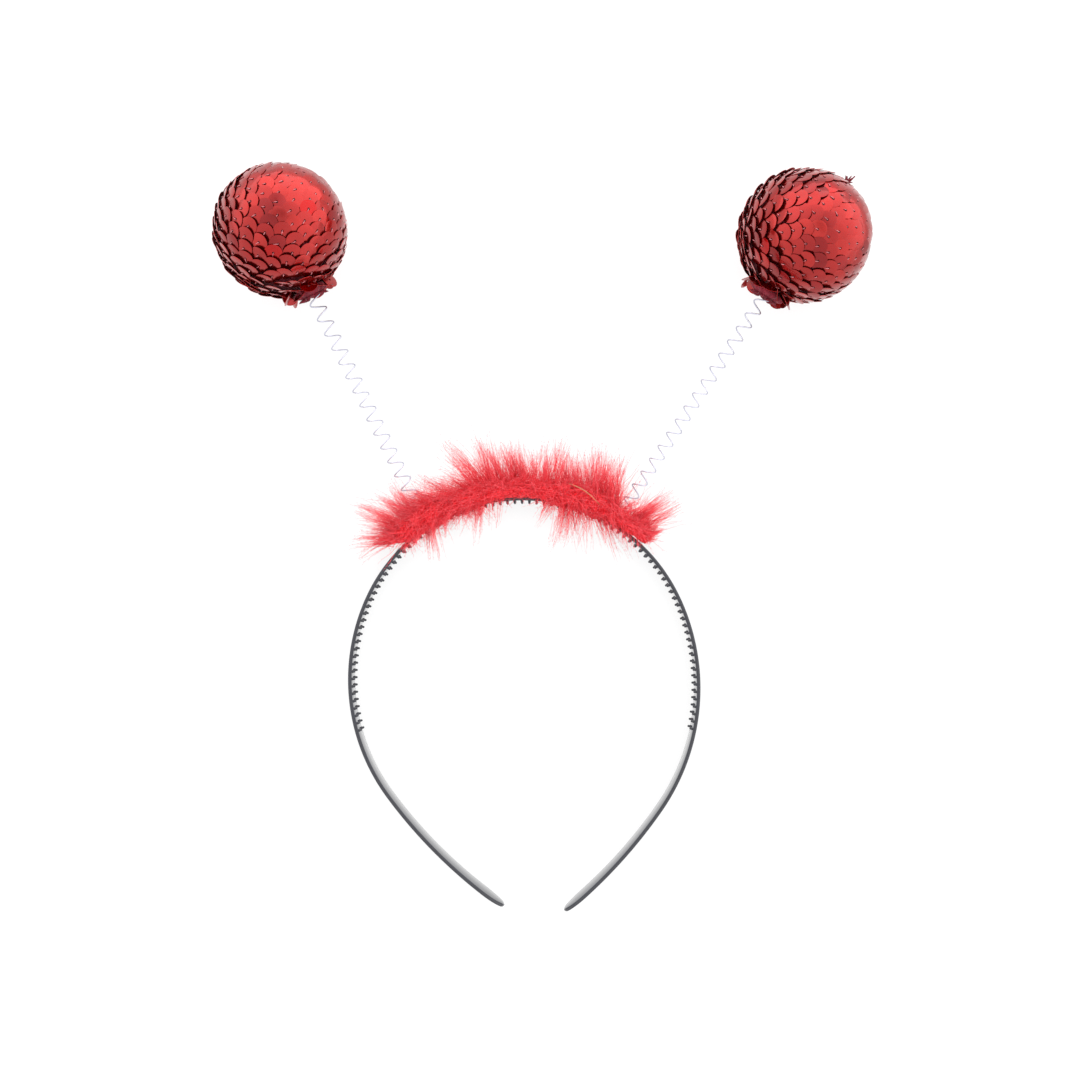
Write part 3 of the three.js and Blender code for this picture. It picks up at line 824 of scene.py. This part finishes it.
def neck_gather(name, material, rng):
    """The cloth drawn together round the spring, pleated, with a ragged frill and folded back inside."""
    centre = ball_centre(name)
    _, axis, _ = spring_axis(name)
    around = 8 * PLEATS
    turn = round_angles(around)
    ring = towards(*across(-axis), turn)
    bore = SPRINGS[name]["width"] / 2 + WIRE["fit"]
    ragged = 0.3 * np.sin(5 * turn + 1) + 0.2 * np.sin(11 * turn) + rng.normal(0, 0.06, around)
    outer = [
        (GATHER["radius"] - 0.4, -GATHER["seat"], 0.25, 0.0),
        (GATHER["radius"], -0.6 * GATHER["seat"], 0.35, 0.0),
        (GATHER["radius"] - 0.3, 0.0, 0.45, 0.0),
        (0.5 * (GATHER["radius"] + GATHER["waist"]), 0.5 * GATHER["waist_at"], 0.4, 0.0),
        (GATHER["waist"], GATHER["waist_at"], 0.22, 0.0),
        (GATHER["waist"] + 0.5, 0.65 * GATHER["frill_at"], 0.45, 0.2),
        (GATHER["frill"], GATHER["frill_at"], 0.9, 1.0),
    ]
    inner = [(max(bore, radius - CLOTH), *rest) for radius, *rest in outer[::-1]]
    inner[-1] = (bore, outer[0][1], 0.05, 0.0)
    rings = []
    for radius, height, pleat, share in outer + inner:
        folded = radius + pleat * np.sin(PLEATS * turn)
        size = np.maximum(bore, folded + 0.2 * np.sin(3 * turn) * share)
        up = height + share * ragged * 0.9
        rings.append(centre - BALL["radius"] * axis + size[:, None] * ring - up[:, None] * axis)
    quads = quad_rows(len(rings), around, closed=True)
    return add_mesh(f"{name}_gathered_cloth", np.concatenate(rings), [quads], material)


# Marabou


def strip_frames(along):
    """Points of the cord, outward normals and tangents at distances from the crown."""
    frames = [band_frame(float(s)) for s in along]
    point, normal, tangent = (np.array(column) for column in zip(*frames))
    point = point + normal * (STRIP["cord"] + STRIP["fit"]) + UP * STRIP["height"]
    return point, normal, tangent


STATIONS = np.linspace(-70, 70, 561)
STATION_FRAMES = strip_frames(STATIONS)


def frames_at(along):
    """The same for many distances at once, between stations."""
    return [
        np.stack([np.interp(along, STATIONS, column) for column in values.T], -1)
        for values in STATION_FRAMES
    ]


def body_surface(along, spin, lift, end=0.4):
    """Points on the strip's dense body or lifted off it. spin: degrees round it, 0 outwards and 90 up."""
    point, normal, _ = frames_at(along)
    at, inner, outer = np.array(BODY).T
    inner = np.interp(along / STRIP["half"], at, inner)
    outer = np.interp(along / STRIP["half"], at, outer)
    taper = np.sqrt(np.clip(1 - (np.abs(along) / (STRIP["half"] + end)) ** 10, 0.03, 1))
    turn = np.radians(spin)
    lumps = 1 + 0.05 * np.sin(3 * turn + 0.9 * along)
    lumps = lumps + 0.06 * np.sin(0.55 * along) + 0.05 * np.sin(1.7 * along + 2)
    wide = (outer - inner) / 2 * taper * lumps + lift
    high = STRIP["rise"] * taper * lumps + lift
    middle = (outer + inner) / 2 - STRIP["cord"] - STRIP["fit"]
    sideways = (middle + wide * np.cos(turn))[..., None] * normal
    return point + sideways + (STRIP["lift"] + high * np.sin(turn))[..., None] * UP


def outside_band(points):
    """How far each point lies outside the band's outer face round the crown, negative inside it."""
    left = points[..., 0] < CROWN[0]
    radius = np.where(left, ARCS[-1][0][0], ARCS[1][0][0])
    return np.hypot(points[..., 0] - CROWN[0], points[..., 1] - CROWN[1] + radius) - radius


def keep_clear(points):
    """Lifts what would lie in the band over its top edge, and what would sink into the floor off it, and
    pushes what would lie in a spring out of it."""
    away = outside_band(points)
    over = (away < OVER_BAND["outside"]) & (away > OVER_BAND["inside"])
    top = BAND["width"] + OVER_BAND["above"]
    height = np.where(over & (points[..., 2] < top), top, points[..., 2])
    below = np.minimum(0, (height - FLOOR_SOFT) / FLOOR_SOFT)
    height = np.where(height < FLOOR_SOFT, FLOOR_SOFT * np.exp(below), height)
    points = np.concatenate([points[..., :2], height[..., None]], -1)
    for name in SPRINGS:
        root, axis, span = spring_axis(name)
        from_root = points - root
        along = from_root @ axis
        off = from_root - along[..., None] * axis
        apart = np.linalg.norm(off, axis=-1)
        room = SPRINGS[name]["width"] / 2 + WIRE["fit"]
        inside = (apart < room) & (along > -1) & (along < span)
        push = np.where(inside, room / np.maximum(apart, 0.05) - 1, 0)
        points = points + push[..., None] * off
    return points


def barb_paths(roots, ways, lengths, bends, rings, rng):
    """Bent, slightly wavy lines from their roots."""
    share = np.linspace(0, 1, rings)
    count = len(roots)
    side, over = across(ways)
    phase = rng.uniform(0, 2 * math.pi, (2, count, 1))
    waves = rng.uniform(0.7, 1.9, (2, count, 1))
    swing = 0.022 * share * np.sin(2 * math.pi * waves * share + phase)
    paths = ways[:, None] * share[None, :, None] + bends[:, None] * (share**2)[None, :, None]
    paths = paths + swing[0][..., None] * side[:, None] + swing[1][..., None] * over[:, None]
    return roots[:, None] + lengths[:, None, None] * paths


def barbules(paths, tones, per_barb, rng):
    """Fine hooks along each barb, each a thin closed spike that leans towards the barb's tip."""
    count, rings = paths.shape[:2]
    total = count * per_barb
    share = (rng.uniform(0.12, 1.0, (count, per_barb)) ** 0.8).clip(0, 0.995)
    place = share * (rings - 1)
    low = place.astype(int)
    part = (place - low)[..., None]
    row = np.arange(count)[:, None]
    start, end = paths[row, low], paths[row, low + 1]
    base = (start + (end - start) * part).reshape(total, 3)
    along = unit((end - start).reshape(total, 3) + 1e-9)
    side, over = across(along)
    out = towards(side, over, rng.uniform(0, 2 * math.pi, total))
    way = towards(along, out, np.radians(rng.normal(BARBULE["spread"], 14, total)))
    length = BARBULE["length"] * rng.uniform(0.5, 1.25, total) * (1.1 - 0.5 * share.ravel())
    first, second = across(way)
    half = BARBULE["width"] / 2
    corners = np.stack([
        base + half * first,
        base - half / 2 * first + half * 0.87 * second,
        base - half / 2 * first - half * 0.87 * second,
        base + way * length[:, None],
    ], 1)
    corners[..., 2] = np.maximum(corners[..., 2], 0.05)
    faces = np.array([[0, 2, 1], [0, 1, 3], [1, 2, 3], [2, 0, 3]])
    faces = (np.arange(total)[:, None, None] * 4 + faces).reshape(-1, 3)
    tip = np.repeat(share.ravel(), 4) + np.tile([0, 0, 0, 0.15], total)
    return corners.reshape(-1, 3), faces, tip.clip(0, 1), np.repeat(np.repeat(tones, per_barb), 4)


def feather_piece(name, paths, width, per_barb, material, rng):
    """One piece of barbs with their barbules."""
    count, rings = paths.shape[:2]
    share = np.linspace(0, 1, rings)
    tones = rng.integers(0, TONES, count) / (TONES - 1)
    radii = width / 2 * (1 - 0.88 * share) * rng.uniform(0.7, 1.2, (count, 1))
    points, faces = tubes(paths, radii, 3)
    tip = np.tile(np.repeat(share, 3), count)
    tone = np.repeat(tones, 3 * rings)
    more_points, more_faces, more_tip, more_tone = barbules(paths, tones, per_barb, rng)
    piece = add_mesh(
        name,
        np.concatenate([points, more_points]),
        [*faces, more_faces + len(points)],
        material,
        {"tip": np.concatenate([tip, more_tip]), "tone": np.concatenate([tone, more_tone])},
    )
    lay_out_strands(piece)
    return piece


def lay_out_strands(piece):
    """A map that lays every strand of one shade on the same strip, from root to tip."""
    mesh = piece.data
    corner = np.empty(len(mesh.loops), np.int32)
    mesh.loops.foreach_get("vertex_index", corner)
    tip, tone = (np.empty(len(mesh.vertices), np.float32) for _ in range(2))
    mesh.attributes["tip"].data.foreach_get("value", tip)
    mesh.attributes["tone"].data.foreach_get("value", tone)
    place = np.arange(len(corner)) % 3 / 2
    height = (tone[corner] * (TONES - 1) + 0.1 + 0.8 * place) / TONES
    spots = np.stack([0.01 + 0.98 * tip[corner], height], -1)
    mesh.uv_layers.new(name="OFBake").data.foreach_set("uv", spots.astype(np.float32).ravel())


def tuft_paths(tufts, inner, rng):
    """The barbs of a table of tufts. They run together in clumps, which end in soft points."""
    parts = []
    for row in tufts:
        tuft = dict(zip(TUFT_COLUMNS, row))
        clumps = max(2, round(tuft["barbs"] * BARB["share"] / BARB["clump"]))
        along = STRIP["half"] * tuft["at"] + rng.normal(0, 1.5, clumps)
        lean = np.radians(tuft["lean"] + rng.normal(0, tuft["spread"] * 0.7, clumps))
        rise = np.radians(tuft["rise"] + rng.normal(0, 10, clumps))
        # Some of the outer clumps hang under the plane of the others.
        low = (rng.uniform(0, 1, clumps) < 0.22) & (not inner)
        rise = np.where(low, np.radians(-16), rise)
        reach = tuft["reach"] * (1.02 - 0.5 * rng.uniform(0, 1, clumps) ** 1.5)
        bow = tuft["bow"] + rng.normal(0, 0.06, clumps)
        parts.append(np.stack([along, lean, rise, reach, bow], -1))
    clump = np.concatenate(parts)
    owner = np.repeat(np.arange(len(clump)), BARB["clump"])
    count = len(owner)
    drop = 0.75 if inner else 0.1

    def lines(along, lean, rise, reach, bow, scatter):
        point, normal, tangent = frames_at(along)
        flat = towards(normal, tangent, lean)
        way = towards(flat, UP, rise)
        bend = bow[:, None] * np.cross(flat, UP) - drop * UP
        if inner:
            bend = bend + 0.35 * flat
        root = point + 1.2 * normal + scatter
        return barb_paths(root, way, reach, bend, BARB["rings"], rng)

    along, lean, rise, reach, bow = clump.T
    shift = rng.normal(0, 0.6, (len(clump), 3))
    axes = lines(along, lean, rise, reach, bow, shift)[owner]
    stray = rng.uniform(0, 1, count) < 0.14
    wild = np.where(stray, 3.0, 1.0)
    own = lines(
        along[owner] + rng.normal(0, 1.0, count),
        lean[owner] + np.radians(rng.normal(0, 9, count)) * wild,
        rise[owner] + np.radians(rng.normal(0, 8, count)) * wild,
        reach[owner] * rng.uniform(0.7, 1.05, count),
        bow[owner] + rng.normal(0, 0.07, count),
        shift[owner] + rng.normal(0, 0.5, (count, 3)),
    )
    share = np.linspace(0, 1, BARB["rings"])
    pull = np.where(stray, 0.15, rng.uniform(0.6, 0.9, count))[:, None] * share**0.7
    # A barb shorter than its clump ends part of the way along the clump's line.
    part = np.linalg.norm(own[:, -1] - own[:, 0], axis=1) / np.linalg.norm(axes[:, -1] - axes[:, 0], axis=1)
    place = (share[None] * np.minimum(part, 1)[:, None]) * (BARB["rings"] - 1)
    before = np.minimum(place.astype(int), BARB["rings"] - 2)
    row = np.arange(count)[:, None]
    between = (place - before)[..., None]
    axes = axes[row, before] * (1 - between) + axes[row, before + 1] * between
    return keep_clear(own + (axes - own) * pull[..., None])


def body_spins(along, rng):
    """Where round the body barbs grow: all of it, but not over the band where the body leaves that bare."""
    at, inner, _ = np.array(BODY).T
    bare = np.interp(along / STRIP["half"], at, inner) > -0.6
    share = rng.uniform(0, 1, len(along))
    return SPINS["start"] + share * np.where(bare, SPINS["bare"], SPINS["all"])


def combed_paths(rng):
    """Long barbs that lie along the body, swept towards the strip's ends, with their tips lifting off it."""
    count = COMBED["count"]
    along = rng.uniform(-STRIP["half"], STRIP["half"], count)
    way = np.where(rng.normal(along, 7) < -3, -1, 1) * np.where(rng.uniform(0, 1, count) < 0.12, -1, 1)
    spin = body_spins(along, rng)
    slant = np.radians(rng.normal(0, 32, count))
    length = rng.uniform(COMBED["shortest"], COMBED["longest"], count)
    # Those that point off the strip's end stop there.
    room = np.maximum(STRIP["half"] + 1 - np.abs(along), 2)
    length = np.where(way * along > 0, np.minimum(length, room), length)
    share = np.linspace(0, 1, COMBED["rings"])
    lift = rng.uniform(0.3, 4.0, count) + 2.5 * np.cos(np.radians(spin)).clip(0, 1)
    curve = rng.normal(0, 0.5, count)
    around = np.sin(slant)[:, None] * share + (curve * 0.4)[:, None] * share**2
    place = along[:, None] + (way * length * np.cos(slant))[:, None] * share
    turn = spin[:, None] + np.degrees(length[:, None] * around / 5.0)
    return keep_clear(body_surface(place, turn, lift[:, None] * share**1.6 + 0.05, end=9))


def fluff_paths(rng):
    """Short barbs that stand out all over the body."""
    count = FLUFF["count"]
    along = rng.uniform(-STRIP["half"], STRIP["half"], count)
    spin = body_spins(along, rng)
    root = body_surface(along, spin, np.full(count, -0.3))
    out = unit(body_surface(along, spin, np.full(count, 1.0)) - root)
    _, _, tangent = frames_at(along)
    way = towards(out, tangent, np.radians(rng.normal(0, 38, count)))
    length = rng.uniform(FLUFF["shortest"], FLUFF["longest"], count)
    length = np.where(np.cos(np.radians(spin)) < -0.3, 0.7 * length, length)
    bend = rng.normal(0, 0.18, (count, 3)) - 0.1 * UP
    return keep_clear(barb_paths(root, way, length, bend, FLUFF["rings"], rng))


def quill_shape():
    """A loose quill that lies on the strip."""
    share = np.linspace(0, 1, 14)[:, None]
    start, end = np.array([9.1, 21.0, 15.5]), np.array([19.8, 13.6, 15.3])
    path = start + (end - start) * share + np.array([0.5, 0.9, 0.5]) * np.sin(math.pi * share)
    radii = 0.15 * np.sqrt(np.sin(math.pi * (0.06 + 0.88 * share[:, 0])))
    return tubes(path[None], radii[None], 8)


def marabou_strip(material, body_material, quill_material, rng):
    """The strip: a dense body, barbs combed along it, short fluff, standing tufts and a loose quill."""
    along = np.linspace(-STRIP["half"], STRIP["half"], STRIP_RINGS)[:, None]
    spin = np.arange(STRIP_SIDES) * 360 / STRIP_SIDES
    uneven = rng.normal(0, 0.12, (STRIP_RINGS, STRIP_SIDES))
    rings = body_surface(along + 0 * spin, spin + 0 * along, uneven)
    points, faces = skin(keep_clear(rings)[::-1])
    pieces = [add_mesh("marabou_body", points, faces, body_material)]
    for kind, paths, size in (("combed", combed_paths(rng), COMBED), ("fluff", fluff_paths(rng), FLUFF)):
        left = paths[:, 0, 0] < CROWN[0]
        for name, chosen in (("left", left), ("right", ~left)):
            pieces.append(feather_piece(
                f"marabou_{kind}_{name}", paths[chosen], size["width"], size["barbules"], material, rng
            ))
    third = len(TUFTS) // 3
    for name, tufts, inner in (
        ("left", TUFTS[:third], False),
        ("middle", TUFTS[third:-third], False),
        ("right", TUFTS[-third:], False),
        ("inner", INNER_TUFTS, True),
    ):
        paths = tuft_paths(tufts, inner, rng)
        pieces.append(feather_piece(
            f"marabou_tufts_{name}", paths, BARB["width"], BARB["barbules"], material, rng
        ))
    points, faces = quill_shape()
    pieces.append(add_mesh("marabou_quill", points, faces, quill_material))
    return pieces


# Staging


def set_camera():
    camera = bpy.data.objects.new("camera", bpy.data.cameras.new("camera"))
    camera.location = Vector((CAMERA["x"], CAMERA["y"], CAMERA["height"])) * MM
    camera.data.lens = CAMERA["lens"]
    camera.data.sensor_width = CAMERA["sensor"]
    camera.data.clip_start = 0.01
    bpy.context.scene.collection.objects.link(camera)
    bpy.context.scene.camera = camera


def set_floor():
    half = 3000.0
    points = np.array([[-half, -half, 0], [half, -half, 0], [half, half, 0], [-half, half, 0]])
    floor = add_mesh("floor", points, [np.array([[0, 1, 2, 3]])], light_table())


def set_world():
    """A light tent: brighter behind the object than before it, with a dark opening for the camera."""
    world = bpy.data.worlds.new("tent")
    bpy.context.scene.world = world
    world.use_nodes = True
    place = node(world, "ShaderNodeTexCoord").outputs["Generated"]
    split = node(world, "ShaderNodeSeparateXYZ", Vector=place)
    shades = ramp(world, split.outputs["Z"], [(height, (level, level, level)) for height, level in TENT])
    tilt = node(world, "ShaderNodeVectorMath")
    tilt.operation = "DOT_PRODUCT"
    link(world, place, tilt.inputs[0])
    tilt.inputs[1].default_value = (0.1, 0.4, 0)
    background = world.node_tree.nodes["Background"]
    level = math_node(world, "ADD", shades, tilt.outputs["Value"])
    link(world, level, background.inputs["Color"])
    background.inputs["Strength"].default_value = 2.1


# Assembly

set_camera()
set_floor()
set_world()
bpy.context.scene.view_settings.view_transform = "Standard"

band = headband(black_plastic())
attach(band, "band")
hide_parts("headband")

wire = steel_wire()
film, cloth, thread = red_sequins(), red_cloth(), stitch_thread()
for number, name in enumerate(SPRINGS):
    body = f"{name}_bopper"
    spring = coil_spring(name, wire)
    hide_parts(f"{name}_spring")
    rng = np.random.default_rng(SEED + number)
    discs, stitches = ball_sequins(name, film, thread, rng)
    cover = ball_cover(name, cloth)
    gathered = neck_gather(name, cloth, rng)
    for piece, slot in (
        (discs, "red_sequins"), (stitches, "red_cloth"), (cover, "red_cloth"), (gathered, "red_cloth")
    ):
        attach(piece, body)
    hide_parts(f"{name}_ball")
    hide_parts(f"{name}_neck_gather")

frayed = thread_ends(cloth, np.random.default_rng(SEED + 3))
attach(frayed, f"{THREAD_ENDS['on']}_bopper")

strip = marabou_strip(red_marabou(), marabou_body(), quill(), np.random.default_rng(SEED + 2))
for piece in strip:
    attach(piece, "band")
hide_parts("marabou_strip")

bpy.context.view_layer.update()
